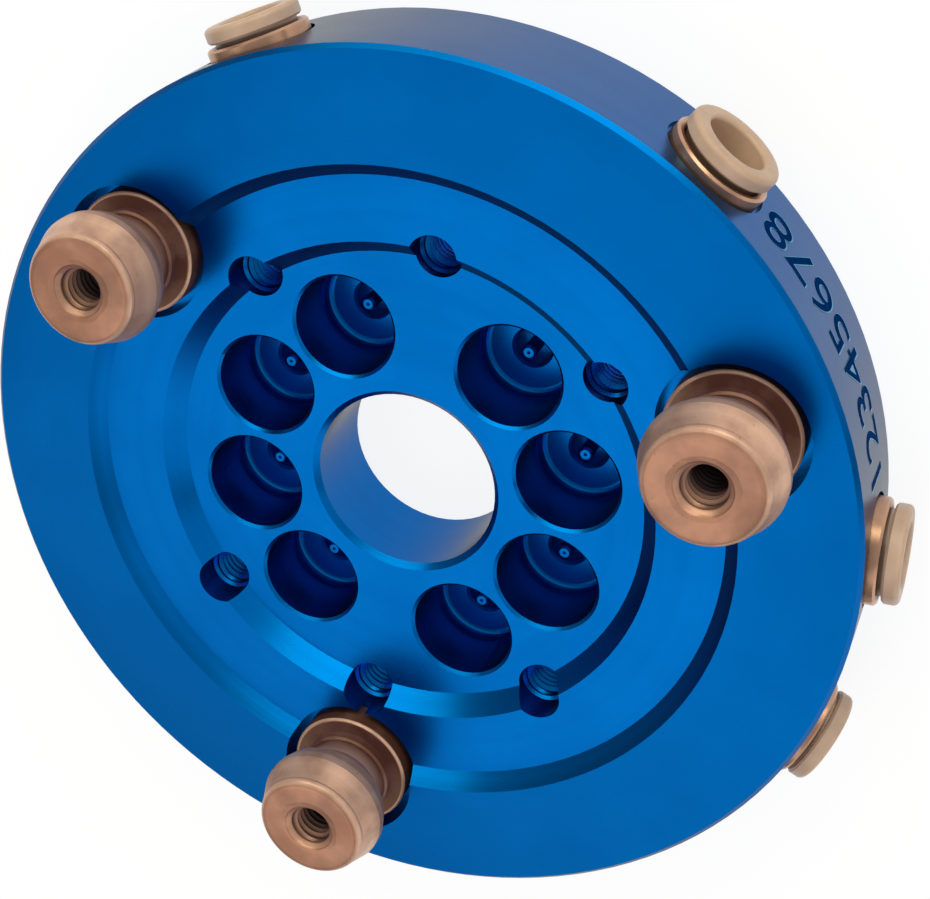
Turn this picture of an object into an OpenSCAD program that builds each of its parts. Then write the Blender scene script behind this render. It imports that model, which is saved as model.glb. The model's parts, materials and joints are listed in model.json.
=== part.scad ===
// Tool-side plate of a robotic tool changer.
// A stepped round plate carries three pull studs, eight media sockets around a centre bore, six
// threaded holes and four push-in tube fittings in its rim. Millimetres, +Z out of the front face,
// origin at the centre of the rear face, first pull stud towards -Y.

/* [Plate] */
// Outer diameter of the plate
plate_d = 125; // [122:1:140]
// Thickness of the plate at its rim
plate_t = 20; // [19.6:0.1:26]
// Bevel on the outer edges
plate_edge = 0.6; // [0.2:0.1:1.2]
// Diameter at which the outer step starts
outer_step_d = 94.4; // [88:0.2:98]
// Width of the outer step's slope
outer_step_w = 2; // [1:0.1:3]
// Height of the outer step
outer_step_h = 2.3; // [1:0.1:3]
// Diameter at which the inner step starts
inner_step_d = 72.3; // [70.6:0.1:76]
// Width of the inner step's slope
inner_step_w = 2.3; // [1:0.1:3]
// Height of the inner step
inner_step_h = 2.9; // [1:0.1:3.4]
// Diameter of the centre bore
bore_d = 26; // [16:0.5:30]
// Bevel at both ends of the centre bore
bore_edge = 0.8; // [0.2:0.1:1.5]

/* [Media sockets] */
// Sockets on each side of the plate
socket_count = 4; // [2:1:4]
// Pitch circle of the sockets
socket_pcd = 47.3; // [46:0.1:49]
// Angle between neighbouring sockets of one side
socket_pitch = 40; // [37:0.5:44]
// Diameter of a socket
socket_d = 14.4; // [12:0.1:14.6]
// Bevel at a socket's mouth
socket_edge = 0.4; // [0.2:0.1:0.6]
// Depth of a socket below the inner floor
socket_h = 10.4; // [8:0.1:12]
// How far the rounded corner reaches in over a socket's floor
socket_corner = 1.2; // [0.5:0.1:1.8]
// How far the rounded corner reaches up the socket's wall
socket_corner_h = 2.1; // [0.5:0.1:2.6]
// Diameter of the well in a socket's floor
well_d = 5.2; // [4:0.1:7]
// Depth of the well below a socket's floor
well_h = 3; // [0.6:0.1:3.4]
// Bevel at the well's mouth
well_edge = 0.4; // [0.1:0.1:0.8]
// Diameter of the post in the middle of the well
post_d = 2; // [1.2:0.1:3]
// How far the post stands above the socket's floor
post_h = 1.9; // [0.4:0.1:3]
// Bevel round the post's top
post_edge = 0.3; // [0.1:0.1:0.4]
// Diameter of the centre mark in the post's top
mark_d = 0.5; // [0.3:0.1:0.8]
// Depth of the centre mark
mark_h = 0.3; // [0.1:0.1:0.6]

/* [Threaded holes] */
// Places on the circle, of which the two on the X axis stay empty
fix_places = 8; // [8:2:8]
// Pitch circle of the threaded holes
fix_pcd = 70; // [69:0.1:71]
// Thread diameter
fix_d = 6; // [4:1:6]
// Diameter of the plain mouth above the thread
fix_mouth_d = 6.8; // [6.4:0.1:7.4]
// Depth of the plain mouth below the inner floor
fix_mouth_h = 1.6; // [0.5:0.1:3]
// Bevel between plain mouth and thread, and at the rear end
fix_edge = 0.4; // [0.2:0.1:0.6]

/* [Pull studs] */
// Number of pull studs
stud_count = 3; // [3:1:3]
// Pitch circle of the pull studs
stud_pcd = 96.7; // [95:0.1:98]
// Diameter of the pocket round a stud's flange
pocket_d = 20; // [19:0.1:21]
// Depth of the pocket below the rim face
pocket_h = 5; // [4:0.1:6]
// Diameter of the stud's flange
flange_d = 17.6; // [16:0.1:18.4]
// Thickness of the stud's flange
flange_t = 4.2; // [3:0.1:5]
// Bevel on the flange's front edge
flange_edge = 0.25; // [0.1:0.05:0.8]
// Diameter of the low shoulder on the flange
shoulder_d = 13.2; // [12.6:0.1:15]
// Height of the low shoulder
shoulder_h = 1.5; // [0.5:0.1:2]
// Bevel on the shoulder's front edge
shoulder_edge = 0.3; // [0.1:0.1:0.4]
// Diameter of the neck behind the head
neck_d = 12; // [10:0.1:12.4]
// Height of the neck
neck_h = 2.2; // [0.8:0.1:3]
// Height of the steep slope from the neck out to the head
catch_h = 3.2; // [2:0.1:4]
// Diameter at the rear end of the head's slight back taper
back_d = 17; // [15:0.1:17.8]
// Height of the back taper
back_h = 1.8; // [0.5:0.1:2.5]
// Diameter of the head's straight band, which centres the stud in its mate
head_d = 18.2; // [17.8:0.1:19]
// Height of the head's straight band
band_h = 1.2; // [0.6:0.1:3]
// Height of the head's tapered nose
nose_h = 3.4; // [2:0.1:5]
// Diameter at the front end of the nose
nose_d = 15.8; // [14:0.1:17]
// Radius of the edge round the head's flat front
head_round = 1.2; // [0.4:0.1:1.6]
// Thread in the head's front
stud_thread_d = 6; // [5:1:6]
// Depth of that thread
stud_thread_h = 11; // [8:0.5:12]
// Countersink at the front of the thread
stud_sink_d = 7.4; // [6.4:0.1:9]
// Diameter of the spigot that centres the stud
spigot_d = 12; // [9:0.1:13]
// Height of the spigot
spigot_h = 4.6; // [3:0.1:5]
// Bevel at the spigot's end
spigot_edge = 0.5; // [0.2:0.1:1]

/* [Stud screws] */
// Diameter of the screw's shank
screw_d = 6; // [5:1:6]
// Length of the screw below its head
screw_l = 10; // [8:0.5:11]
// Diameter of the screw's head
screw_head_d = 10; // [8.5:0.5:10.5]
// Height of the screw's head
screw_head_h = 6; // [3:0.1:6]
// Hexagon socket, across flats
screw_hex = 5; // [3:0.5:6]
// Depth of the hexagon socket
screw_hex_h = 3; // [1.5:0.1:3.5]
// Room left beyond the screw's tip
screw_spare = 1; // [0.5:0.5:1.5]
// Bevel on the screw's head and tip
screw_edge = 0.4; // [0.1:0.1:0.6]
// Depth of the counterbore for the screw's head
sink_h = 6.4; // [6:0.1:6.8]

/* [Push-in fittings] */
// Place of the first fitting round the rim, counted from +X
fitting_1_angle = -18; // [-30:1:-12]
// Place of the second fitting
fitting_2_angle = 9; // [6:1:10]
// Place of the third fitting
fitting_3_angle = 60; // [50:1:75]
// Place of the fourth fitting
fitting_4_angle = 119; // [105:1:130]
// Height of the fittings' axes above the rear face
fitting_z = 10; // [9:0.1:10.6]
// Outer diameter of the tube that the fitting takes
tube_d = 8; // [6:0.5:8.5]
// Wall of the release ring's skirt
skirt_wall = 1.5; // [1.2:0.1:1.6]
// Wall of the collar's sleeve round the skirt
sleeve_wall = 0.6; // [0.4:0.1:0.7]
// Width of the collar's rim beyond its sleeve
rim_w = 0.65; // [0.4:0.05:0.8]
// Depth of the spot face in the plate's rim
seat_h = 1; // [0.6:0.1:1.5]
// How far the collar stands out of the plate
collar_out = 1.2; // [0.8:0.1:2]
// Bevel on the collar's edges
collar_edge = 0.3; // [0.1:0.05:0.3]
// Bevel inside the collar's mouth
collar_mouth = 0.5; // [0.2:0.1:0.6]
// Length of the collar's sleeve inside the plate
sleeve_l = 6.5; // [5:0.1:7.5]
// Thickness of the claw ring
claw_t = 0.5; // [0.3:0.1:0.8]
// Width of the claw ring's flat rim
claw_rim_w = 1; // [0.8:0.1:1.2]
// Number of teeth on the claw ring
claw_teeth = 12; // [6:1:14]
// Slot between two teeth at their tips
claw_slot = 0.8; // [0.5:0.1:1.2]
// How far the teeth's tips lean away from the mouth
claw_lean = 0.6; // [0.2:0.1:0.8]
// Length of the spacer ring
spacer_l = 2; // [1.4:0.1:2.6]
// Depth of the spacer ring's hollow, in which the teeth bend
spacer_hollow = 1; // [0.8:0.1:1.2]
// Thickness of the seal ring's section
seal_t = 2.3; // [1.8:0.1:2.5]
// Length of the plain tube nest behind the seal
nest_l = 3; // [2:0.1:4]
// Diameter of the passage to the media socket
duct_d = 5; // [3:0.1:6]
// Wall of the release ring's head round the tube
head_wall = 2.35; // [2:0.05:2.6]
// Length of the release ring's head
ring_t = 2.1; // [1.4:0.1:3]
// Radius of the head's front edge
ring_round = 0.7; // [0.2:0.1:0.8]
// Bevel on the head's back edge
ring_edge = 0.3; // [0.1:0.1:0.5]
// Radius of the edge round the tube hole
hole_round = 0.6; // [0.2:0.1:0.8]
// Bevel inside the skirt's end
skirt_edge = 0.5; // [0.2:0.1:0.8]
// How far the release ring can be pushed in
ring_travel = 0.5; // [0.5:0.1:1.2]

/* [Clearances] */
// Radial clearance of the spigot in the plate
spigot_gap = 0.03; // [0.01:0.01:0.1]
// Radial clearance of a screw's shank in the plate
screw_gap = 0.3; // [0.1:0.05:0.5]
// Radial clearance of a screw's head in its counterbore
head_gap = 0.5; // [0.25:0.05:1]
// Radial clearance of the tube in the fitting's rings
tube_gap = 0.15; // [0.05:0.05:0.3]
// Radial clearance of the release ring in the collar
slide_gap = 0.1; // [0.03:0.01:0.15]
// Radial gap between collar and spot face
seat_gap = 0.5; // [0.3:0.1:0.8]
// Gap left between head and collar when the ring is pushed in
stop_gap = 0.1; // [0.05:0.05:0.3]
// Gap left between skirt and claw ring when the ring is pushed in
claw_gap = 0.2; // [0.1:0.1:0.5]

/* [Hidden] */
$fn = 96;
eps = 0.01;
first_stud_angle = -90;
drill_angle = 118;

// Heights of the plate's three levels
mid_z = plate_t - outer_step_h;
floor_z = mid_z - inner_step_h;
socket_z = floor_z - socket_h;

// Distances from the plate's axis along a fitting, from the rim inwards
rim_x = plate_d / 2;
seat_x = rim_x - seat_h;
sleeve_x = seat_x - sleeve_l;
claw_x = sleeve_x - claw_t;
spacer_x = claw_x - spacer_l;
shelf_x = spacer_x - seal_t;
nest_x = shelf_x - nest_l;

// The same from the rim outwards, and the inner end of the skirt, with the ring at rest
collar_x = rim_x + collar_out;
ring_x = collar_x + stop_gap + ring_travel;
ring_face_x = ring_x + ring_t;
skirt_x = sleeve_x + claw_gap + ring_travel;

// Radii of a fitting, each built up from the tube
hole_r = tube_d / 2 + tube_gap;
skirt_r = hole_r + skirt_wall;
guide_r = skirt_r + slide_gap;
barrel_r = guide_r + sleeve_wall;
collar_r = barrel_r + rim_w;
seat_r = collar_r + seat_gap;
head_r = hole_r + head_wall;
claw_root_r = barrel_r - claw_rim_w;

// Colours
blue = [0.0, 0.42, 0.75];
steel = [0.78, 0.62, 0.53];
screw_grey = [0.25, 0.25, 0.27];
brass = [0.8, 0.62, 0.48];
spring_steel = [0.7, 0.7, 0.72];
rubber = [0.08, 0.08, 0.08];
ivory = [0.76, 0.69, 0.58];

// Angles of the media sockets: one group about +X and one about -X
socket_angles = [for (side = [0, 180], i = [0:socket_count - 1])
    side + (i - (socket_count - 1) / 2) * socket_pitch];
fix_angles = [for (i = [0:fix_places - 1]) if (i % (fix_places / 2) != 0) i * 360 / fix_places];
stud_angles = [for (i = [0:stud_count - 1]) first_stud_angle + i * 360 / stud_count];
fitting_angles = [fitting_1_angle, fitting_2_angle, fitting_3_angle, fitting_4_angle];

// Angle between two directions, from 0 to 180
function turn(a, b) = acos(cos(a - b));
// Direction of the media socket nearest to a fitting
function fed_socket(a) =
    let (turns = [for (s = socket_angles) turn(a, s)])
    [for (i = [0:len(turns) - 1]) if (turns[i] == min(turns)) socket_angles[i]][0];

// Children placed on a circle about Z, standing upright
module on_circle(angle, pcd) {
    rotate([0, 0, angle]) translate([pcd / 2, 0, 0]) children();
}

// Children drawn along Z, laid along a fitting's axis with Z pointing out of the rim
module along_fitting(angle) {
    rotate([0, 0, angle]) translate([0, 0, fitting_z]) rotate([0, 90, 0]) children();
}

// Upright cylinder with a bevelled top edge
module bevelled_cylinder(d, h, top) {
    rotate_extrude() polygon([
        [0, 0], [d / 2, 0], [d / 2, h - top], [d / 2 - top, h], [0, h]
    ]);
}

// Cutter for a blind hole with its full-width bottom at z = 0 and a drill's cone below
module drilled_hole(d, h) {
    cone_h = d / 2 / tan(drill_angle / 2);
    rotate_extrude() polygon([[0, -cone_h], [d / 2, 0], [d / 2, h], [0, h]]);
}

/* ---- Plate ---- */

// Half section of the stepped disc, revolved about Z
module plate_blank() {
    r = plate_d / 2;
    outer_r = outer_step_d / 2;
    inner_r = inner_step_d / 2;
    bore_r = bore_d / 2;
    rotate_extrude($fn = 256) polygon([
        [bore_r + bore_edge, 0], [r - plate_edge, 0], [r, plate_edge], [r, plate_t - plate_edge],
        [r - plate_edge, plate_t], [outer_r, plate_t], [outer_r - outer_step_w, mid_z],
        [inner_r, mid_z], [inner_r - inner_step_w, floor_z], [bore_r + bore_edge, floor_z],
        [bore_r, floor_z - bore_edge], [bore_r, bore_edge]
    ]);
}

// Cutter for one media socket: stepped bore with a round corner, a well and a post left standing
module socket_cutter() {
    r = socket_d / 2;
    post_r = post_d / 2;
    post_z = socket_z + post_h;
    well_r = well_d / 2;
    top = floor_z + eps;
    rotate_extrude() polygon(concat(
        [[0, post_z - mark_h], [mark_d / 2, post_z], [post_r - post_edge, post_z],
         [post_r, post_z - post_edge], [post_r, socket_z - well_h],
         [well_r, socket_z - well_h], [well_r, socket_z - well_edge], [well_r + well_edge, socket_z]],
        [for (a = [0:15:90])
            [r - socket_corner * (1 - sin(a)), socket_z + socket_corner_h * (1 - cos(a))]],
        [[r, floor_z - socket_edge], [r + socket_edge + eps, top], [0, top]]
    ));
}

// Cutter for one threaded hole, through the plate at its nominal diameter
module fix_cutter() {
    throat_z = floor_z - fix_mouth_h;
    translate([0, 0, -eps]) cylinder(d = fix_d, h = plate_t);
    translate([0, 0, -eps]) cylinder(d1 = fix_d + 2 * fix_edge, d2 = fix_d, h = fix_edge + eps);
    translate([0, 0, throat_z]) cylinder(d = fix_mouth_d, h = plate_t - throat_z);
    translate([0, 0, throat_z - fix_edge]) cylinder(d1 = fix_d, d2 = fix_mouth_d, h = fix_edge + eps);
}

// Cutter for one stud: pocket, spigot bore, screw hole and counterbore
module stud_cutter() {
    translate([0, 0, plate_t - pocket_h]) cylinder(d = pocket_d, h = pocket_h + eps);
    translate([0, 0, plate_t - pocket_h - spigot_h])
        cylinder(d = spigot_d + 2 * spigot_gap, h = spigot_h + eps);
    cylinder(d = screw_d + 2 * screw_gap, h = plate_t);
    translate([0, 0, -eps]) cylinder(d = screw_head_d + 2 * head_gap, h = sink_h + eps);
}

// Cutter for one fitting's seat, drawn along the fitting's axis
module fitting_cutter() {
    translate([0, 0, seat_x]) cylinder(r = seat_r, h = rim_x);
    translate([0, 0, shelf_x]) cylinder(r = barrel_r, h = rim_x - shelf_x);
    translate([0, 0, nest_x]) cylinder(r = hole_r, h = rim_x - nest_x);
}

// Straight passage from the bottom of a fitting's tube nest into the nearest media socket
module duct_cutter(angle) {
    feed = fed_socket(angle);
    start = [nest_x * cos(angle), nest_x * sin(angle)];
    target = [socket_pcd / 2 * cos(feed), socket_pcd / 2 * sin(feed)];
    run = target - start;
    translate([start[0], start[1], fitting_z])
        rotate([0, 0, atan2(run[1], run[0])])
        rotate([0, 90, 0])
        translate([0, 0, -eps]) cylinder(d = duct_d, h = norm(run));
}

module base_plate() {
    color(blue) difference() {
        plate_blank();
        for (a = socket_angles) on_circle(a, socket_pcd) socket_cutter();
        for (a = fix_angles) on_circle(a, fix_pcd) fix_cutter();
        for (a = stud_angles) on_circle(a, stud_pcd) stud_cutter();
        for (a = fitting_angles) {
            along_fitting(a) fitting_cutter();
            duct_cutter(a);
        }
    }
}

/* ---- Pull studs ---- */

// Stud drawn about Z with z = 0 at the underside of its flange
module stud() {
    flange_r = flange_d / 2;
    spigot_r = spigot_d / 2;
    shoulder_r = shoulder_d / 2;
    shoulder_z = flange_t + shoulder_h;
    neck_z = shoulder_z + neck_h;
    catch_z = neck_z + catch_h;
    back_z = catch_z + back_h;
    band_z = back_z + band_h;
    nose_z = band_z + nose_h;
    tip_z = nose_z + head_round;
    front_r = nose_d / 2 - head_round;
    sink_step = (stud_sink_d - stud_thread_d) / 2;
    tap_h = sink_h + screw_l + screw_spare - plate_t + pocket_h;
    color(steel) difference() {
        rotate_extrude() polygon(concat([
            [0, -spigot_h], [spigot_r - spigot_edge, -spigot_h], [spigot_r, spigot_edge - spigot_h],
            [spigot_r, 0], [flange_r, 0], [flange_r, flange_t - flange_edge],
            [flange_r - flange_edge, flange_t], [shoulder_r, flange_t],
            [shoulder_r, shoulder_z - shoulder_edge], [shoulder_r - shoulder_edge, shoulder_z],
            [neck_d / 2, shoulder_z], [neck_d / 2, neck_z], [back_d / 2, catch_z],
            [head_d / 2, back_z], [head_d / 2, band_z]
        ], [for (a = [0:15:90]) [front_r + head_round * cos(a), nose_z + head_round * sin(a)]],
        [[0, tip_z]]));
        translate([0, 0, tap_h]) mirror([0, 0, 1]) drilled_hole(screw_d, tap_h + spigot_h + eps);
        translate([0, 0, tip_z - stud_thread_h]) drilled_hole(stud_thread_d, stud_thread_h + eps);
        translate([0, 0, tip_z - sink_step])
            cylinder(d1 = stud_thread_d, d2 = stud_sink_d + 2 * eps, h = sink_step + eps);
    }
}

module pull_stud(i) {
    on_circle(stud_angles[i], stud_pcd) translate([0, 0, plate_t - pocket_h]) stud();
}

// Socket-head cap screw, its head's bearing face at z = 0 and its shank pointing up
module cap_screw() {
    color(screw_grey) difference() {
        union() {
            mirror([0, 0, 1]) bevelled_cylinder(screw_head_d, screw_head_h, screw_edge);
            bevelled_cylinder(screw_d, screw_l, screw_edge);
        }
        translate([0, 0, -screw_head_h - eps])
            cylinder(d = screw_hex / cos(30), h = screw_hex_h + eps, $fn = 6);
    }
}

module stud_screw(i) {
    on_circle(stud_angles[i], stud_pcd) translate([0, 0, sink_h]) cap_screw();
}

/* ---- Push-in fittings, drawn along the fitting's axis ---- */

// Collar: rim outside the plate and a sleeve that guides the release ring
module collar(i) {
    color(brass) along_fitting(fitting_angles[i]) rotate_extrude() polygon([
        [guide_r, sleeve_x], [guide_r, collar_x - collar_mouth], [guide_r + collar_mouth, collar_x],
        [collar_r - collar_edge, collar_x], [collar_r, collar_x - collar_edge], [collar_r, seat_x],
        [barrel_r, seat_x], [barrel_r, sleeve_x]
    ]);
}

// Claw ring: flat rim with a ring of teeth that lean inwards and away from the mouth
module claw_ring(i) {
    tip_r = tube_d / 2;
    tooth_w = 2 * PI * tip_r / claw_teeth - claw_slot;
    tooth_end_r = claw_root_r + claw_rim_w / 4;
    color(spring_steel) along_fitting(fitting_angles[i]) translate([0, 0, claw_x]) {
        difference() {
            cylinder(r = barrel_r, h = claw_t);
            translate([0, 0, -eps]) cylinder(r = claw_root_r, h = claw_t + 2 * eps);
        }
        for (k = [0:claw_teeth - 1]) rotate([0, 0, k * 360 / claw_teeth])
            rotate([90, 0, 0]) translate([0, 0, -tooth_w / 2]) linear_extrude(tooth_w) polygon([
                [tip_r, -claw_lean], [claw_root_r, 0], [tooth_end_r, 0], [tooth_end_r, claw_t],
                [claw_root_r, claw_t], [tip_r, claw_t - claw_lean]
            ]);
    }
}

// Spacer ring: hollowed towards the claws so that their tips can bend
module spacer_ring(i) {
    color(brass) along_fitting(fitting_angles[i]) rotate_extrude() polygon([
        [hole_r, spacer_x], [barrel_r, spacer_x], [barrel_r, claw_x], [claw_root_r, claw_x],
        [hole_r, claw_x - spacer_hollow]
    ]);
}

// Tube seal: O-ring that fills the groove between spacer ring and plate
module tube_seal(i) {
    color(rubber) along_fitting(fitting_angles[i]) translate([0, 0, shelf_x + seal_t / 2])
        rotate_extrude() translate([barrel_r - seal_t / 2, 0]) circle(d = seal_t, $fn = 24);
}

// Release ring: round-edged head outside and a skirt that reaches the claws when pushed
module release_ring(i) {
    color(ivory) along_fitting(fitting_angles[i]) rotate_extrude() polygon(concat(
        [[hole_r, skirt_x + skirt_edge], [hole_r + skirt_edge, skirt_x], [skirt_r, skirt_x],
         [skirt_r, ring_x], [head_r - ring_edge, ring_x], [head_r, ring_x + ring_edge]],
        [for (a = [0:15:90]) [head_r - ring_round + ring_round * cos(a),
            ring_face_x - ring_round + ring_round * sin(a)]],
        [for (a = [90:15:180]) [hole_r + hole_round + hole_round * cos(a),
            ring_face_x - hole_round + hole_round * sin(a)]]
    ));
}

base_plate();
pull_stud(0);  // pull_stud_1
pull_stud(1);  // pull_stud_2
pull_stud(2);  // pull_stud_3
stud_screw(0);  // stud_screw_1
stud_screw(1);  // stud_screw_2
stud_screw(2);  // stud_screw_3
collar(0);  // collar_1
collar(1);  // collar_2
collar(2);  // collar_3
collar(3);  // collar_4
claw_ring(0);  // claw_ring_1
claw_ring(1);  // claw_ring_2
claw_ring(2);  // claw_ring_3
claw_ring(3);  // claw_ring_4
spacer_ring(0);  // spacer_ring_1
spacer_ring(1);  // spacer_ring_2
spacer_ring(2);  // spacer_ring_3
spacer_ring(3);  // spacer_ring_4
tube_seal(0);  // tube_seal_1
tube_seal(1);  // tube_seal_2
tube_seal(2);  // tube_seal_3
tube_seal(3);  // tube_seal_4
release_ring(0);  // release_ring_1
release_ring(1);  // release_ring_2
release_ring(2);  // release_ring_3
release_ring(3);  // release_ring_4
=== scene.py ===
import json
import math

import bmesh
import bpy
import numpy as np
from mathutils import Matrix, Vector


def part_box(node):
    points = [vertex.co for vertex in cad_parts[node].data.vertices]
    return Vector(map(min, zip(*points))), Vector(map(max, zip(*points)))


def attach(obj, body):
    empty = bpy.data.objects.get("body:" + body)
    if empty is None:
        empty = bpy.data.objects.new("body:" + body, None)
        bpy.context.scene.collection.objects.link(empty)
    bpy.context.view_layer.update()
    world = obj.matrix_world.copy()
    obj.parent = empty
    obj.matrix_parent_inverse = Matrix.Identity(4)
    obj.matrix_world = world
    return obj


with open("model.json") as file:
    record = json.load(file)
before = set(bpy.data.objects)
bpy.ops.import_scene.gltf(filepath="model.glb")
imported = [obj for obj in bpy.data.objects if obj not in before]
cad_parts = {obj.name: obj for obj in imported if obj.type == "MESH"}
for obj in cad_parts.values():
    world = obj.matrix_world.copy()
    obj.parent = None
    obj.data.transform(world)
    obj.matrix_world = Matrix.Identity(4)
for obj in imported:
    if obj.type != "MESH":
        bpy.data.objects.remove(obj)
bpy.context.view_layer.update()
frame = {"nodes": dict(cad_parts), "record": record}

# ---- sizes and places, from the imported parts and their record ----

MM = 0.001
mounts = {m["name"]: m for m in frame["record"]["mounts"]}

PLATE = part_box("base_plate")
PLATE_R = PLATE[1].x
FACE_Z = PLATE[1].z
RIM_MID_Z = (PLATE[0].z + FACE_Z) / 2

STUD_TIP_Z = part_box("pull_stud_1")[1].z
STUD_PLACES = [Vector(mounts[f"pull_stud_thread_{k}"]["pos_m"]) for k in (1, 2, 3)]
STUD_CIRCLE_R = STUD_PLACES[0].xy.length
FIRST_STUD_DEG = -90
STUD_SPACING_DEG = 120
STUD_THREAD_L = mounts["pull_stud_thread_1"]["dims"]["length_mm"] * MM

THREAD_R = mounts["pull_stud_thread_1"]["dims"]["r_mm"] * MM
THREAD_PITCH = 1.0 * MM

# six threads on the inner step: four on the diagonals and two on the Y axis,
# from under their plain mouths to the bevel at the rear face
HALF_SQUARE = mounts["fixing_threads_square"]["dims"]["spacing_x_mm"] * MM / 2
FIX_R = math.hypot(HALF_SQUARE, HALF_SQUARE)
FIX_ANGLES = (45, 90, 135, 225, 270, 315)
FIX_THREAD_TOP = 12.8 * MM
FIX_THREAD_END = 0.5 * MM

FITTING_PLACES = [Vector(mounts[f"tube_socket_{k}"]["pos_m"]) for k in (1, 2, 3, 4)]
TUBE_HOLE_R = mounts["tube_socket_1"]["dims"]["r_mm"] * MM

# ---- small node helpers ----


def node(tree, kind, **settings):
    """One shader node of the given kind, with plain settings such as operation or blend_type."""
    made = tree.nodes.new("ShaderNode" + kind)
    for name, value in settings.items():
        setattr(made, name, value)
    return made


def feed(tree, target, value):
    """Puts a link into an input socket if value is an output, or sets the socket to the number."""
    if isinstance(value, bpy.types.NodeSocket):
        tree.links.new(value, target)
    else:
        target.default_value = value


def maths(tree, operation, first, second=None):
    """Result of one Math node."""
    made = node(tree, "Math", operation=operation)
    feed(tree, made.inputs[0], first)
    if second is not None:
        feed(tree, made.inputs[1], second)
    return made.outputs[0]


def times(tree, first, second):
    """Product of two values."""
    return maths(tree, "MULTIPLY", first, second)


def length_2d(tree, first, second):
    """Square root of the sum of two squares."""
    squares = [times(tree, side, side) for side in (first, second)]
    return maths(tree, "SQRT", maths(tree, "ADD", *squares))


def remap(tree, value, low, high, to_low, to_high):
    """Value carried from one range to another, held at its ends."""
    made = node(tree, "MapRange")
    for place, number in enumerate((value, low, high, to_low, to_high)):
        feed(tree, made.inputs[place], number)
    return made.outputs[0]


def mix_colour(tree, factor, first, second):
    """Colour between two colours."""
    made = node(tree, "Mix", data_type="RGBA")
    feed(tree, made.inputs[0], factor)
    feed(tree, made.inputs[6], first)
    feed(tree, made.inputs[7], second)
    return made.outputs[2]


def object_place(tree):
    """Object coordinates of the shaded point."""
    return node(tree, "TexCoord").outputs["Object"]


def object_xyz(tree):
    """The three object coordinates of the shaded point, each by itself."""
    split = node(tree, "SeparateXYZ")
    tree.links.new(object_place(tree), split.inputs[0])
    return split.outputs


def cloud_noise(tree, scale, detail):
    """Noise on object coordinates; the scale is in clouds per metre."""
    made = node(tree, "TexNoise")
    tree.links.new(object_place(tree), made.inputs["Vector"])
    feed(tree, made.inputs["Scale"], scale)
    feed(tree, made.inputs["Detail"], detail)
    return made.outputs[0]


def line_noise(tree, along, scale, detail):
    """Noise along one length, the same all across it."""
    made = node(tree, "TexNoise", noise_dimensions="1D")
    feed(tree, made.inputs["W"], along)
    feed(tree, made.inputs["Scale"], scale)
    feed(tree, made.inputs["Detail"], detail)
    return made.outputs[0]


def new_group(name, inputs, outputs):
    """Empty shader node group with float inputs, given as name and value, and named outputs."""
    tree = bpy.data.node_groups.new(name, "ShaderNodeTree")
    for label, value in inputs:
        socket = tree.interface.new_socket(label, in_out="INPUT", socket_type="NodeSocketFloat")
        socket.default_value = value
    for label in outputs:
        tree.interface.new_socket(label, in_out="OUTPUT", socket_type="NodeSocketFloat")
    return tree, tree.nodes.new("NodeGroupInput"), tree.nodes.new("NodeGroupOutput")


def use_group(tree, group, **values):
    """A group placed in a material; each value is a link or a number."""
    made = tree.nodes.new("ShaderNodeGroup")
    made.node_tree = group
    for name, value in values.items():
        feed(tree, made.inputs[name.replace("_", " ")], value)
    return made


# ---- shared effects ----


def turning_marks_group():
    """Fine grooves left by a turning tool: two sizes of noise on one length across the grooves."""
    tree, source, target = new_group(
        "turning_marks", [("Across", 0.0), ("Pitch", 0.3)], ["Groove", "Band"]
    )
    along = maths(tree, "DIVIDE", source.outputs["Across"], source.outputs["Pitch"])
    tree.links.new(line_noise(tree, along, 1.0, 2.0), target.inputs["Groove"])
    tree.links.new(line_noise(tree, along, 0.09, 3.0), target.inputs["Band"])
    return tree


def handling_marks_group():
    """Faint smudges and fine specks: soft cloud noise and a mask of its peaks; sizes in mm."""
    tree, source, target = new_group(
        "handling_marks", [("Size", 12.0), ("Speck size", 1.0)], ["Smudge", "Speck"]
    )
    cloud = cloud_noise(tree, maths(tree, "DIVIDE", 1 / MM, source.outputs["Size"]), 4.0)
    speck = cloud_noise(tree, maths(tree, "DIVIDE", 1 / MM, source.outputs["Speck size"]), 1.0)
    tree.links.new(remap(tree, cloud, 0.3, 0.7, 0.0, 1.0), target.inputs["Smudge"])
    tree.links.new(remap(tree, speck, 0.72, 0.8, 0.0, 1.0), target.inputs["Speck"])
    return tree


def stud_radius_group():
    """Distance from the nearest stud's axis in mm, and height in mm.

    The angle about the plate's axis, counted from half a spacing before the first stud, is folded
    into one spacing, so the three studs share one local frame; a whole turn is added first, to keep
    it above zero. The distance is then the length of (radius * cos - circle, radius * sin)."""
    tree, _, target = new_group("stud_radius", [], ["Radius", "Height"])
    x, y, z = object_xyz(tree)
    radius = length_2d(tree, x, y)
    spacing = math.radians(STUD_SPACING_DEG)
    start = math.radians(360 - FIRST_STUD_DEG) + spacing / 2
    turn = maths(tree, "ADD", maths(tree, "ARCTAN2", y, x), start)
    folded = maths(tree, "SUBTRACT", maths(tree, "MODULO", turn, spacing), spacing / 2)
    outward = times(tree, radius, maths(tree, "COSINE", folded))
    near = maths(tree, "SUBTRACT", outward, STUD_CIRCLE_R)
    side = times(tree, radius, maths(tree, "SINE", folded))
    tree.links.new(maths(tree, "DIVIDE", length_2d(tree, near, side), MM), target.inputs["Radius"])
    tree.links.new(maths(tree, "DIVIDE", z, MM), target.inputs["Height"])
    return tree


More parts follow.
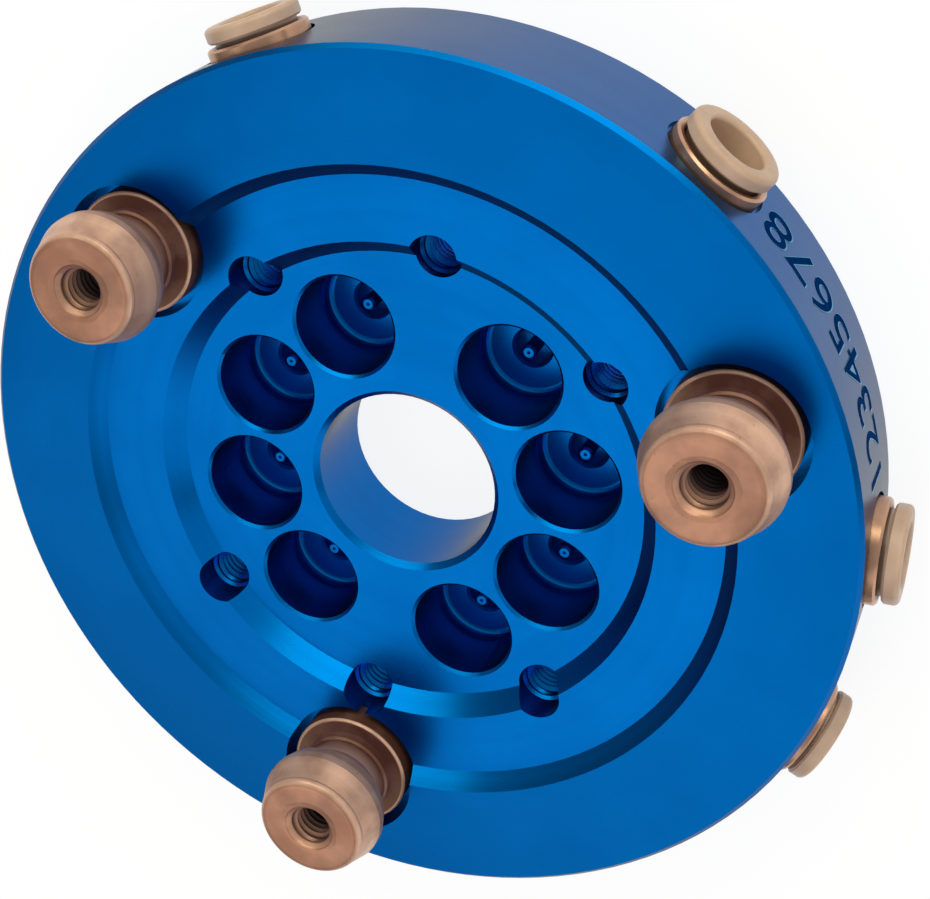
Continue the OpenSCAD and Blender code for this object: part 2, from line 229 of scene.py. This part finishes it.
def disc_radius_group():
    """Distance from the plate's axis in mm, and height in mm."""
    tree, _, target = new_group("disc_radius", [], ["Radius", "Height"])
    x, y, z = object_xyz(tree)
    tree.links.new(maths(tree, "DIVIDE", length_2d(tree, x, y), MM), target.inputs["Radius"])
    tree.links.new(maths(tree, "DIVIDE", z, MM), target.inputs["Height"])
    return tree


def fitting_radius_group():
    """Distance in mm from the nearest fitting's axis.

    For an axis at angle a and height h it is the length of (x sin a - y cos a, z - h); the least of
    the four is kept, starting from a metre."""
    tree, _, target = new_group("fitting_radius", [], ["Radius"])
    x, y, z = object_xyz(tree)
    nearest = 1.0
    for place in FITTING_PLACES:
        way = place.xy.normalized()
        across = maths(tree, "SUBTRACT", times(tree, x, way.y), times(tree, y, way.x))
        distance = length_2d(tree, across, maths(tree, "SUBTRACT", z, place.z))
        nearest = maths(tree, "MINIMUM", distance, nearest)
    tree.links.new(maths(tree, "DIVIDE", nearest, MM), target.inputs["Radius"])
    return tree


TURNING = turning_marks_group()
HANDLING = handling_marks_group()
STUD_RADIUS = stud_radius_group()
DISC_RADIUS = disc_radius_group()
FITTING_RADIUS = fitting_radius_group()

# ---- what the materials share ----


def new_material(name, **sockets):
    """Material with one Principled shader whose plain sockets are set, its tree and the shader."""
    made = bpy.data.materials.new(name)
    made.use_nodes = True
    shader = made.node_tree.nodes["Principled BSDF"]
    for label, value in sockets.items():
        shader.inputs[label.replace("_", " ")].default_value = value
    return made, made.node_tree, shader


def smudged(tree, marks, clean, handled):
    """A number that goes from its clean to its handled value as the smudges deepen."""
    return remap(tree, marks.outputs["Smudge"], 0.0, 1.0, clean, handled)


def smudged_colour(tree, marks, clean, handled):
    """A colour that goes from its clean to its handled tone as the smudges deepen."""
    return mix_colour(tree, marks.outputs["Smudge"], clean, handled)


def finish(tree, shader, colour, roughness):
    """Feeds the shader its colour and its roughness."""
    tree.links.new(colour, shader.inputs["Base Color"])
    tree.links.new(roughness, shader.inputs["Roughness"])


def bump(tree, shader, height, distance_mm, strength=1.0):
    """Feeds a height, in units of distance_mm, to the shader's normal."""
    made = node(tree, "Bump")
    feed(tree, made.inputs["Strength"], strength)
    feed(tree, made.inputs["Distance"], distance_mm * MM)
    feed(tree, made.inputs["Height"], height)
    tree.links.new(made.outputs[0], shader.inputs["Normal"])


# ---- the plate's blue ----

DYE_DEEP = (0.0, 0.128, 0.445, 1.0)
DYE_PALE = (0.0, 0.144, 0.485, 1.0)
DYE_OUTER_FACE = (0.0, 0.106, 0.36, 1.0)
DYE_HANDLED = (0.0, 0.092, 0.34, 1.0)
# at a slant the dye's blue fades to a warm grey
DYE_EDGE_TINT = (0.9, 0.74, 0.48, 1.0)

# height of the plate's face, and heights between which the outer face's deeper tone sets in, in mm
PLATE_FACE = FACE_Z / MM
RAISED_FROM = PLATE_FACE - 1.4
RAISED_TO = PLATE_FACE - 0.4


def anodised_aluminium():
    """Blue anodised turned aluminium: ring grooves on faces, round grooves on the rim and bore.

    The raised outer face, above the steps, is a little deeper in colour than the recess."""
    made, tree, shader = new_material("anodised_blue_aluminium", Metallic=1.0)
    shader.inputs["Specular Tint"].default_value = DYE_EDGE_TINT
    place = use_group(tree, DISC_RADIUS)
    rings = use_group(tree, TURNING, Across=place.outputs["Radius"], Pitch=0.32)
    lines = use_group(tree, TURNING, Across=place.outputs["Height"], Pitch=0.26)
    marks = use_group(tree, HANDLING, Size=17.0, Speck_size=0.9)
    bands = maths(tree, "ADD", rings.outputs["Band"], lines.outputs["Band"])
    dye = mix_colour(tree, remap(tree, bands, 0.75, 1.25, 0.0, 1.0), DYE_DEEP, DYE_PALE)
    raised = remap(tree, place.outputs["Height"], RAISED_FROM, RAISED_TO, 0.0, 0.85)
    dye = mix_colour(tree, raised, dye, DYE_OUTER_FACE)
    dye = mix_colour(tree, smudged(tree, marks, 0.0, 0.2), dye, DYE_HANDLED)
    finish(tree, shader, dye, smudged(tree, marks, 0.25, 0.31))
    grooves = maths(tree, "ADD", rings.outputs["Groove"], lines.outputs["Groove"])
    bump(tree, shader, grooves, distance_mm=0.0025)
    return made


# ---- the studs' steel ----

NOSE_PALE = (0.76, 0.47, 0.33, 1.0)
NOSE_DARK = (0.64, 0.375, 0.26, 1.0)
END_FACE_PALE = (0.56, 0.27, 0.165, 1.0)
END_FACE_BROWN = (0.38, 0.165, 0.095, 1.0)
NECK_PAINTED_SHADE = (0.36, 0.20, 0.14, 1.0)
FLANGE_PAINTED_SHADE = (0.15, 0.058, 0.032, 1.0)
STAIN_BROWN = (0.30, 0.16, 0.11, 1.0)
SPECK_AND_THREAD_SHADE_DARK = (0.035, 0.014, 0.008, 1.0)
STUD_PAINTED_REFLECTION = (0.12, 0.07, 0.30, 1.0)

# heights and radii on a stud, in mm
STUD_END = STUD_TIP_Z / MM
HEAD_BACK = STUD_END - 6.0
FLANGE_EDGE = PLATE_FACE - 1.2
FLANGE_EDGE_R = 8.4
THREAD_WALL = THREAD_R / MM
MOUTH_R = THREAD_WALL + 1.0
STUD_GROOVE = 0.006
MOUTH_DISH = 0.216


def end_face_mask(tree, radius, height):
    """Where a stud's end face and the mouth of its thread are."""
    mouth = remap(tree, radius, MOUTH_R - 0.1, MOUTH_R + 0.1, 0.6, 0.0)
    flat = remap(tree, height, STUD_END - 0.25, STUD_END - 0.1, 0.0, 0.95)
    return maths(tree, "MAXIMUM", mouth, flat)


def end_face_colour(tree):
    """Cloudy brown of a stud's end face."""
    clouds = use_group(tree, HANDLING, Size=9.0, Speck_size=2.0)
    cloudy = remap(tree, clouds.outputs["Smudge"], 0.25, 0.75, 0.0, 1.0)
    return mix_colour(tree, cloudy, END_FACE_PALE, END_FACE_BROWN)


def flange_colour(tree, radius, height, metal):
    """The metal, darkened by painted shade on the flange down in the pocket, and lightened by a
    painted highlight along the flange's edge.
    """
    # painted shade: low in the pocket the flange turns dark brown
    pocket_shade = remap(tree, height, PLATE_FACE + 0.6, PLATE_FACE + 2.6, 1.0, 0.0)
    metal = mix_colour(tree, pocket_shade, metal, FLANGE_PAINTED_SHADE)
    # painted highlight: the flange's upper edge takes the nose's pale colour
    outer = remap(tree, radius, FLANGE_EDGE_R - 0.1, FLANGE_EDGE_R + 0.1, 0.0, 0.9)
    upper = remap(tree, height, FLANGE_EDGE - 0.1, FLANGE_EDGE + 0.1, 0.0, 1.0)
    edge = times(tree, times(tree, outer, pocket_shade), upper)
    return mix_colour(tree, edge, metal, NOSE_PALE)


def thread_shade(tree, radius, height):
    """Painted shade in a stud's thread: its roots darken from the mouth on, then all of it with
    depth.
    """
    root = remap(tree, radius, THREAD_WALL - 0.35, THREAD_WALL - 0.05, 0.0, 1.0)
    root = times(tree, root, remap(tree, height, STUD_END - 0.6, STUD_END - 1.4, 0.2, 0.85))
    deep = remap(tree, height, STUD_END - 1.1, STUD_END - 5.3, 0.0, 1.0)
    inside = remap(tree, radius, THREAD_WALL + 0.05, THREAD_WALL + 0.15, 1.0, 0.0)
    return times(tree, inside, maths(tree, "MAXIMUM", root, deep))


def turned_stud_steel():
    """Pink-brown satin steel with turning marks round each stud's own axis, stains and specks.

    The polished side of the nose is palest and the end face browner. Painted shade darkens the neck
    under the head, the flange down in its pocket and the thread with depth; a painted highlight
    lights the flange's edge. Wear dishes the mouth of the thread. Rays from gloss see a dim, bluish
    painted reflection colour in place of the steel, so its halo on the plate is deep blue."""
    made, tree, shader = new_material("turned_stud_steel", Metallic=0.45)
    place = use_group(tree, STUD_RADIUS)
    radius, height = place.outputs["Radius"], place.outputs["Height"]
    rings = use_group(tree, TURNING, Across=radius, Pitch=0.22)
    lines = use_group(tree, TURNING, Across=height, Pitch=0.2)
    marks = use_group(tree, HANDLING, Size=5.0, Speck_size=0.8)
    bands = maths(tree, "ADD", rings.outputs["Band"], lines.outputs["Band"])
    metal = mix_colour(tree, remap(tree, bands, 0.8, 1.2, 0.0, 1.0), NOSE_DARK, NOSE_PALE)
    metal = mix_colour(tree, end_face_mask(tree, radius, height), metal, end_face_colour(tree))
    # painted shade under the head: below the head's back the steel darkens towards brown
    neck = remap(tree, height, HEAD_BACK - 0.5, HEAD_BACK + 0.5, 0.5, 0.0)
    metal = mix_colour(tree, neck, metal, NECK_PAINTED_SHADE)
    metal = flange_colour(tree, radius, height, metal)
    stained = remap(tree, marks.outputs["Smudge"], 0.4, 0.95, 0.0, 0.6)
    metal = mix_colour(tree, stained, metal, STAIN_BROWN)
    # the dark colour marks real specks here and paints shade into the thread on the next line
    metal = mix_colour(tree, times(tree, marks.outputs["Speck"], 0.2), metal, SPECK_AND_THREAD_SHADE_DARK)
    metal = mix_colour(tree, thread_shade(tree, radius, height), metal, SPECK_AND_THREAD_SHADE_DARK)
    # painted reflection: rays from gloss see a dim bluish colour in place of the steel
    painted_reflection = times(tree, node(tree, "LightPath").outputs["Is Glossy Ray"], 0.8)
    metal = mix_colour(tree, painted_reflection, metal, STUD_PAINTED_REFLECTION)
    finish(tree, shader, metal, smudged(tree, marks, 0.34, 0.46))
    grooves = maths(tree, "ADD", rings.outputs["Groove"], lines.outputs["Groove"])
    uneven = maths(tree, "SUBTRACT", radius, times(tree, marks.outputs["Smudge"], 0.5))
    depth = MOUTH_DISH / STUD_GROOVE
    dished = remap(tree, uneven, THREAD_WALL + 0.3, THREAD_WALL + 1.2, 0.0, depth)
    bump(tree, shader, maths(tree, "ADD", grooves, dished), distance_mm=STUD_GROOVE)
    return made


# ---- the other metals and the rubber ----

OXIDE_BLACK = (0.035, 0.034, 0.036, 1.0)
OXIDE_BLOOM = (0.075, 0.062, 0.052, 1.0)
PLATING_DARK = (0.47, 0.25, 0.155, 1.0)
PLATING_PALE = (0.62, 0.37, 0.245, 1.0)
PLATING_TARNISH = (0.33, 0.19, 0.12, 1.0)
STRIP_BRIGHT = (0.62, 0.61, 0.58, 1.0)
STRIP_DULL = (0.48, 0.46, 0.43, 1.0)
RUBBER_CLEAN = (0.012, 0.012, 0.012, 1.0)
RUBBER_DUSTY = (0.028, 0.027, 0.026, 1.0)


def blackened_screw_steel():
    """Black oxide on screws: near-black satin metal with faint brown bloom and fine grain."""
    made, tree, shader = new_material("blackened_screw_steel", Metallic=0.85)
    marks = use_group(tree, HANDLING, Size=3.0, Speck_size=0.35)
    colour = smudged_colour(tree, marks, OXIDE_BLACK, OXIDE_BLOOM)
    finish(tree, shader, colour, smudged(tree, marks, 0.42, 0.56))
    bump(tree, shader, marks.outputs["Speck"], distance_mm=0.02, strength=0.5)
    return made


def plated_collar():
    """Copper-coloured plated collar: satin metal with fine lines and tarnish."""
    made, tree, shader = new_material("plated_collar_metal", Metallic=0.85)
    place = use_group(tree, DISC_RADIUS)
    lines = use_group(tree, TURNING, Across=place.outputs["Radius"], Pitch=0.14)
    marks = use_group(tree, HANDLING, Size=2.5, Speck_size=0.5)
    metal = mix_colour(tree, lines.outputs["Band"], PLATING_DARK, PLATING_PALE)
    metal = mix_colour(tree, smudged(tree, marks, 0.0, 0.35), metal, PLATING_TARNISH)
    finish(tree, shader, metal, smudged(tree, marks, 0.24, 0.34))
    bump(tree, shader, lines.outputs["Groove"], distance_mm=0.006)
    return made


def spring_strip():
    """Bright rolled spring strip for the claw rings."""
    made, tree, shader = new_material("spring_strip", Metallic=1.0)
    marks = use_group(tree, HANDLING, Size=1.5, Speck_size=0.3)
    colour = smudged_colour(tree, marks, STRIP_BRIGHT, STRIP_DULL)
    finish(tree, shader, colour, smudged(tree, marks, 0.2, 0.34))
    return made


def seal_rubber():
    """Matt black rubber with a dusty bloom."""
    made, tree, shader = new_material("seal_rubber")
    marks = use_group(tree, HANDLING, Size=2.0, Speck_size=0.25)
    colour = smudged_colour(tree, marks, RUBBER_CLEAN, RUBBER_DUSTY)
    finish(tree, shader, colour, smudged(tree, marks, 0.5, 0.68))
    bump(tree, shader, marks.outputs["Speck"], distance_mm=0.02, strength=0.4)
    return made


# ---- the release rings' plastic ----

BEIGE_PALE = (0.70, 0.475, 0.33, 1.0)
BEIGE_DARK = (0.58, 0.38, 0.255, 1.0)
BEIGE_SPECK = (0.30, 0.21, 0.14, 1.0)
GAP_PAINTED_SHADE = (0.05, 0.026, 0.014, 1.0)

# back of the rings' discs, from the plate's axis, and radius of the tube hole, in mm
RING_BACK = PLATE_R / MM + 1.8
RING_HOLE_R = TUBE_HOLE_R / MM
GRAIN_SCALE = 6500.0


def ring_plastic():
    """Beige moulded plastic of the release rings: satin, slightly mottled, with a fine grain.

    Painted shade darkens what lies behind the ring's disc, in the gap before the collar."""
    made, tree, shader = new_material("beige_ring_plastic")
    marks = use_group(tree, HANDLING, Size=4.0, Speck_size=0.28)
    base = smudged_colour(tree, marks, BEIGE_PALE, BEIGE_DARK)
    base = mix_colour(tree, times(tree, marks.outputs["Speck"], 0.25), base, BEIGE_SPECK)
    from_plate = use_group(tree, DISC_RADIUS).outputs["Radius"]
    # painted shade in the gap between the ring's disc and the collar
    behind = remap(tree, from_plate, RING_BACK - 0.2, RING_BACK + 0.05, 0.9, 0.0)
    from_fitting = use_group(tree, FITTING_RADIUS).outputs["Radius"]
    outside = remap(tree, from_fitting, RING_HOLE_R + 0.3, RING_HOLE_R + 0.55, 0.0, 1.0)
    base = mix_colour(tree, times(tree, behind, outside), base, GAP_PAINTED_SHADE)
    finish(tree, shader, base, smudged(tree, marks, 0.3, 0.42))
    grain = cloud_noise(tree, GRAIN_SCALE, 2.0)
    bump(tree, shader, grain, distance_mm=0.012, strength=0.5)
    return made


# ---- the rim figures ----

INK_BLUE = (0.0, 0.04, 0.15, 1.0)
INK_DARK = (0.0, 0.028, 0.11, 1.0)
INK_EDGE_TINT = (0.3, 0.4, 0.5, 1.0)
# colours of the painted highlight along the figures' edges
HIGHLIGHT_BLUE_BRIGHT = (0.01, 0.27, 0.50, 1.0)
HIGHLIGHT_BLUE_DULL = (0.0, 0.16, 0.36, 1.0)


def marking_ink():
    """Dark blue marking burnt through the dye: matt, slightly uneven."""
    made, tree, shader = new_material("dark_blue_marking", Metallic=1.0)
    shader.inputs["Specular Tint"].default_value = INK_EDGE_TINT
    marks = use_group(tree, HANDLING, Size=1.2, Speck_size=0.25)
    colour = smudged_colour(tree, marks, INK_BLUE, INK_DARK)
    finish(tree, shader, colour, smudged(tree, marks, 0.5, 0.65))
    return made


def cut_edge():
    """Painted highlight: a bright blue edge round each figure, standing in for light caught along the
    edge of a cut figure.
    """
    made, tree, shader = new_material("painted_highlight_figure_edge", Metallic=0.9)
    marks = use_group(tree, HANDLING, Size=1.5, Speck_size=0.25)
    colour = smudged_colour(tree, marks, HIGHLIGHT_BLUE_BRIGHT, HIGHLIGHT_BLUE_DULL)
    finish(tree, shader, colour, smudged(tree, marks, 0.2, 0.35))
    return made


BLUE = anodised_aluminium()
STUD_STEEL = turned_stud_steel()
SCREW_BLACK = blackened_screw_steel()
COLLAR_METAL = plated_collar()
SPRING = spring_strip()
RUBBER = seal_rubber()
RING_PLASTIC = ring_plastic()
MARKING = marking_ink()
FIGURE_EDGE_HIGHLIGHT = cut_edge()

FINISHES = {
    "base_plate": BLUE,
    "pull_stud": STUD_STEEL,
    "stud_screw": SCREW_BLACK,
    "collar": COLLAR_METAL,
    "claw_ring": SPRING,
    "spacer_ring": COLLAR_METAL,
    "tube_seal": RUBBER,
    "release_ring": RING_PLASTIC,
}


def dress_cad_nodes():
    """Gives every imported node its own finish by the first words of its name."""
    for name in frame["nodes"]:
        piece = bpy.data.objects[name]
        chosen = next(m for start, m in FINISHES.items() if name.startswith(start))
        piece.data.materials.clear()
        piece.data.materials.append(chosen)


dress_cad_nodes()

# ---- thread ridges ----

# shares of the pitch: how far the ridge stands in, half its foot and half its flat crest
RIDGE_REACH = 0.54
RIDGE_HALF_FOOT = 0.46
RIDGE_HALF_CREST = 0.07
RIDGE_SUNK = 0.02 * MM
FADE_TURNS = 0.5
FADED_REACH = 0.04
STEPS_PER_TURN = 40
MERGE_DISTANCE = 1e-7


def tube_faces(rows, columns):
    """Four-cornered faces between neighbouring rings of points, each ring closed on itself."""
    r = np.arange(rows - 1)[:, None] * columns
    c = np.arange(columns)[None, :]
    n = (c + 1) % columns
    return np.stack([r + c, r + columns + c, r + columns + n, r + n], axis=-1).reshape(-1, 4)


def face_out(mesh):
    """Turns the faces of a closed mesh outwards."""
    work = bmesh.new()
    work.from_mesh(mesh)
    bmesh.ops.remove_doubles(work, verts=work.verts, dist=MERGE_DISTANCE)
    bmesh.ops.recalc_face_normals(work, faces=work.faces)
    work.to_mesh(mesh)
    work.free()


def helix_points(centre, top_z, wall_r, t, reach):
    """Corners of the ridge's section at each turn t, four to a row.

    The section's foot stands sunk in the wall and its crest at wall_r - reach. At turn t it is
    turned by -2 pi t and its middle is at height top - pitch * (t + 1/2), so the thread is
    right-handed."""
    foot = np.full_like(t, wall_r + RIDGE_SUNK)
    crest = wall_r - reach
    out = np.stack([foot, crest, crest, foot], axis=1)
    half_widths = [-RIDGE_HALF_FOOT, -RIDGE_HALF_CREST, RIDGE_HALF_CREST, RIDGE_HALF_FOOT]
    up = np.array(half_widths)[None, :] * THREAD_PITCH
    height = top_z - THREAD_PITCH * (t[:, None] + 0.5) + up
    angle = -2 * np.pi * t[:, None]
    x = centre[0] + out * np.cos(angle)
    y = centre[1] + out * np.sin(angle)
    return np.stack([x, y, height], axis=-1).reshape(-1, 3)


def thread_ridge(name, centre, top_z, bottom_z, wall_r, material):
    """Inside thread: a ridge with a flat-topped triangular section carried down a helix.

    It fades in and out over half a turn: with f the share of the fade, its reach is scaled by
    the smooth step f * f * (3 - 2 f)."""
    turns = (top_z - bottom_z) / THREAD_PITCH - 1.0
    t = np.linspace(0.0, turns, int(turns * STEPS_PER_TURN) + 1)
    fade = np.clip(np.minimum(t, turns - t) / FADE_TURNS, 0.0, 1.0)
    grown = FADED_REACH + (1 - FADED_REACH) * fade * fade * (3 - 2 * fade)
    points = helix_points(centre, top_z, wall_r, t, grown * RIDGE_REACH * THREAD_PITCH)
    last = (len(t) - 1) * 4
    caps = np.array([[0, 1, 2, 3], [last + 3, last + 2, last + 1, last]])
    faces = np.concatenate([tube_faces(len(t), 4), caps])
    mesh = bpy.data.meshes.new(name)
    mesh.from_pydata(points.tolist(), [], faces.tolist())
    mesh.materials.append(material)
    face_out(mesh)
    piece = bpy.data.objects.new(name, mesh)
    bpy.context.scene.collection.objects.link(piece)
    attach(piece, "plate")
    return piece


def fixing_threads():
    """The six threads on the inner step, below their plain mouths."""
    for count, degrees in enumerate(FIX_ANGLES, 1):
        turn = math.radians(degrees)
        centre = (FIX_R * math.cos(turn), FIX_R * math.sin(turn))
        name = f"fixing_thread_{count}"
        ridge = thread_ridge(name, centre, FIX_THREAD_TOP, FIX_THREAD_END, THREAD_R, BLUE)


def stud_threads():
    """The blind thread in the end of each pull stud, from the foot of its countersink."""
    for count, place in enumerate(STUD_PLACES, 1):
        top = place.z + STUD_THREAD_L / 2
        bottom = place.z - STUD_THREAD_L / 2
        ridge = thread_ridge(f"stud_thread_{count}", place.xy, top, bottom, THREAD_R, STUD_STEEL)


fixing_threads()
stud_threads()

# ---- figures on the rim ----

FIGURES = range(1, 9)
FIGURE_H = 7.2 * MM
# height of a figure as a share of the built-in font's size
FIGURE_SHARE = 0.72
LAST_FIGURE_DEG = 50.0
FIGURE_STEP_DEG = 4.5
STROKE_EDGE = 0.14 * MM
EDGE_PROUD = 0.02 * MM
STROKE_PROUD = 0.035 * MM
# the dark stroke sits shifted, so the painted highlight edge shows on one side only
STROKE_SHIFT = 0.08 * MM
LONG_EDGE = 0.8 * MM
LONG_EDGE_CUTS = 3


def flat_figure(figure, widen):
    """Fine triangles of one plain figure in its own plane, its strokes widened by an offset."""
    curve = bpy.data.curves.new(f"figure_{figure}", "FONT")
    curve.body = str(figure)
    curve.size = FIGURE_H / FIGURE_SHARE
    curve.align_x = "CENTER"
    curve.offset = widen
    flat = bpy.data.objects.new(f"figure_{figure}", curve)
    bpy.context.scene.collection.objects.link(flat)
    graph = bpy.context.evaluated_depsgraph_get()
    mesh = bpy.data.meshes.new_from_object(flat.evaluated_get(graph))
    bpy.data.objects.remove(flat)
    work = bmesh.new()
    work.from_mesh(mesh)
    bmesh.ops.triangulate(work, faces=work.faces)
    long_edges = [e for e in work.edges if e.calc_length() > LONG_EDGE]
    bmesh.ops.subdivide_edges(work, edges=long_edges, cuts=LONG_EDGE_CUTS)
    bmesh.ops.triangulate(work, faces=work.faces)
    work.to_mesh(mesh)
    work.free()
    return mesh


def rim_figure_layer(name, figure, degrees, widen, proud, shift, material):
    """One layer of a figure laid round the rim.

    A flat point (u across, v up) goes to radius R + proud, angle a + (u + shift) / radius and
    height middle + v + shift - half the figure's height."""
    mesh = flat_figure(figure, widen)
    flat_points = np.empty(len(mesh.vertices) * 3)
    mesh.vertices.foreach_get("co", flat_points)
    u, v, _ = flat_points.reshape(-1, 3).T
    radius = PLATE_R + proud
    angle = math.radians(degrees) + (u + shift) / radius
    height = RIM_MID_Z + v + shift - FIGURE_H / 2
    placed = np.stack([radius * np.cos(angle), radius * np.sin(angle), height], axis=1)
    mesh.vertices.foreach_set("co", placed.ravel())
    mesh.materials.clear()
    mesh.materials.append(material)
    mesh.update()
    piece = bpy.data.objects.new(name, mesh)
    bpy.context.scene.collection.objects.link(piece)
    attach(piece, "plate")


def rim_figures():
    """Plain figures 1 to 8 between two fittings: a bright edge, which is a painted highlight, under a
    dark stroke.
    """
    for figure in FIGURES:
        degrees = LAST_FIGURE_DEG - FIGURE_STEP_DEG * (FIGURES[-1] - figure)
        highlight_name = f"rim_figure_painted_highlight_{figure}"
        rim_figure_layer(highlight_name, figure, degrees, STROKE_EDGE, EDGE_PROUD, 0.0, FIGURE_EDGE_HIGHLIGHT)
        name = f"rim_figure_{figure}"
        rim_figure_layer(name, figure, degrees, 0.0, STROKE_PROUD, STROKE_SHIFT, MARKING)


rim_figures()

# ---- floor ----

FLOOR_GLOW = 0.86
FLOOR_COLOUR = (0.2, 0.2, 0.2, 1.0)
FLOOR_R = 4.0
FLOOR_Z = -0.6 * MM
FLOOR_SIDES = 96


def floor_material():
    """Pale floor: plain diffuse that also shows white to the camera, to gloss and through glass.

    Seen from below it is clear, so that the underside can be looked at."""
    made = bpy.data.materials.new("pale_floor")
    made.use_nodes = True
    tree = made.node_tree
    tree.nodes.clear()
    target = tree.nodes.new("ShaderNodeOutputMaterial")
    path = node(tree, "LightPath")
    seen = maths(tree, "MAXIMUM", path.outputs["Is Camera Ray"], path.outputs["Is Glossy Ray"])
    seen = maths(tree, "MAXIMUM", seen, path.outputs["Is Transmission Ray"])
    glow = node(tree, "Emission")
    feed(tree, glow.inputs["Color"], (1.0, 1.0, 1.0, 1.0))
    feed(tree, glow.inputs["Strength"], times(tree, seen, FLOOR_GLOW))
    matt = node(tree, "BsdfDiffuse")
    feed(tree, matt.inputs["Color"], FLOOR_COLOUR)
    both = node(tree, "AddShader")
    tree.links.new(glow.outputs[0], both.inputs[0])
    tree.links.new(matt.outputs[0], both.inputs[1])
    clear = node(tree, "BsdfTransparent")
    choose = node(tree, "MixShader")
    tree.links.new(node(tree, "NewGeometry").outputs["Backfacing"], choose.inputs[0])
    tree.links.new(both.outputs[0], choose.inputs[1])
    tree.links.new(clear.outputs[0], choose.inputs[2])
    tree.links.new(choose.outputs[0], target.inputs["Surface"])
    return made


def floor_disc():
    """Flat disc under the plate: points at the disc's radius round one centre."""
    turn = np.arange(FLOOR_SIDES) * 2 * np.pi / FLOOR_SIDES
    height = np.full(FLOOR_SIDES, FLOOR_Z)
    edge = np.stack([FLOOR_R * np.cos(turn), FLOOR_R * np.sin(turn), height], axis=1)
    mesh = bpy.data.meshes.new("floor")
    mesh.from_pydata(edge.tolist(), [], [list(range(FLOOR_SIDES))])
    mesh.materials.append(floor_material())
    piece = bpy.data.objects.new("floor", mesh)
    bpy.context.scene.collection.objects.link(piece)


floor_disc()

# ---- light ----

NEUTRAL = (1.0, 1.0, 1.0)
PALE_YELLOW = (1.0, 1.0, 0.76)
WARM = (1.0, 0.97, 0.92)
LAMP_DISTANCE = 1.1

WORLD_TINT = (1.0, 0.98, 0.97, 1.0)
WORLD_LOW = 0.22
WORLD_HIGH = 0.55
WORLD_LOW_UP_TO = 0.15
WORLD_HIGH_FROM = 0.6


def toward(azimuth, elevation):
    """Unit vector: azimuth from +X towards +Y, elevation above the floor, both in degrees."""
    a = math.radians(azimuth)
    e = math.radians(elevation)
    return Vector((math.cos(a) * math.cos(e), math.sin(a) * math.cos(e), math.sin(e)))


def soft_lamp(name, azimuth, elevation, width, height, radiance, tint):
    """Level area lamp facing the plate; its power is radiance times area times pi."""
    lamp = bpy.data.lights.new(name, "AREA")
    lamp.shape = "RECTANGLE"
    lamp.size = width
    lamp.size_y = height
    lamp.energy = radiance * width * height * math.pi
    lamp.color = tint
    piece = bpy.data.objects.new(name, lamp)
    direction = toward(azimuth, elevation)
    across = Vector((0, 0, 1)).cross(direction).normalized()
    turn = Matrix((across, direction.cross(across), direction)).transposed().to_4x4()
    piece.matrix_world = Matrix.Translation(direction * LAMP_DISTANCE) @ turn
    bpy.context.scene.collection.objects.link(piece)


# name, azimuth and elevation in degrees, width and height in metres, radiance, tint
soft_lamp("lamp_over_far_side", 250, 60, 0.8, 0.64, 0.83, NEUTRAL)
soft_lamp("lamp_near_side", 100, 26, 1.48, 0.45, 2.45, PALE_YELLOW)
soft_lamp("lamp_near_right", 28, 22, 0.9, 0.5, 0.55, NEUTRAL)
soft_lamp("lamp_right", -32, 12, 1.0, 0.46, 1.05, NEUTRAL)
soft_lamp("lamp_low_near", 72, 9, 0.9, 0.34, 2.3, WARM)


def studio_world():
    """Plain grey surroundings, dim at the horizon and lighter above, but white to the camera."""
    world = bpy.data.worlds.new("studio")
    world.use_nodes = True
    bpy.context.scene.world = world
    tree = world.node_tree
    split = node(tree, "SeparateXYZ")
    tree.links.new(node(tree, "TexCoord").outputs["Generated"], split.inputs[0])
    back = tree.nodes["Background"]
    back.inputs["Color"].default_value = WORLD_TINT
    upward = remap(tree, split.outputs[2], WORLD_LOW_UP_TO, WORLD_HIGH_FROM, WORLD_LOW, WORLD_HIGH)
    seen = node(tree, "LightPath").outputs["Is Camera Ray"]
    tree.links.new(maths(tree, "MAXIMUM", upward, seen), back.inputs["Strength"])


studio_world()

# ---- camera ----

CAMERA_AZIMUTH = 57.43
CAMERA_ELEVATION = 55.31
CAMERA_ROLL = 134.57
CAMERA_DISTANCE = 0.23932
CAMERA_AIM = Vector((-0.0103, 0.0130, 0.017))
CAMERA_LENS = 68.56
SENSOR_WIDTH = 36.0
CAMERA_SHIFT = (0.134, -0.069)
CAMERA_CLIP_START = 10 * MM


def aimed_camera():
    """Camera on a sphere round its aim point, then rolled clockwise about its own axis."""
    data = bpy.data.cameras.new("camera")
    data.lens = CAMERA_LENS
    data.sensor_width = SENSOR_WIDTH
    data.shift_x, data.shift_y = CAMERA_SHIFT
    data.clip_start = CAMERA_CLIP_START
    piece = bpy.data.objects.new("camera", data)
    back = toward(CAMERA_AZIMUTH, CAMERA_ELEVATION)
    right = Vector((0, 0, 1)).cross(back).normalized()
    up = back.cross(right)
    roll = math.radians(CAMERA_ROLL)
    rolled_right = right * math.cos(roll) - up * math.sin(roll)
    rolled_up = up * math.cos(roll) + right * math.sin(roll)
    turn = Matrix((rolled_right, rolled_up, back)).transposed().to_4x4()
    piece.matrix_world = Matrix.Translation(CAMERA_AIM + back * CAMERA_DISTANCE) @ turn
    bpy.context.scene.collection.objects.link(piece)
    bpy.context.scene.camera = piece


aimed_camera()
bpy.context.scene.view_settings.view_transform = "Standard"
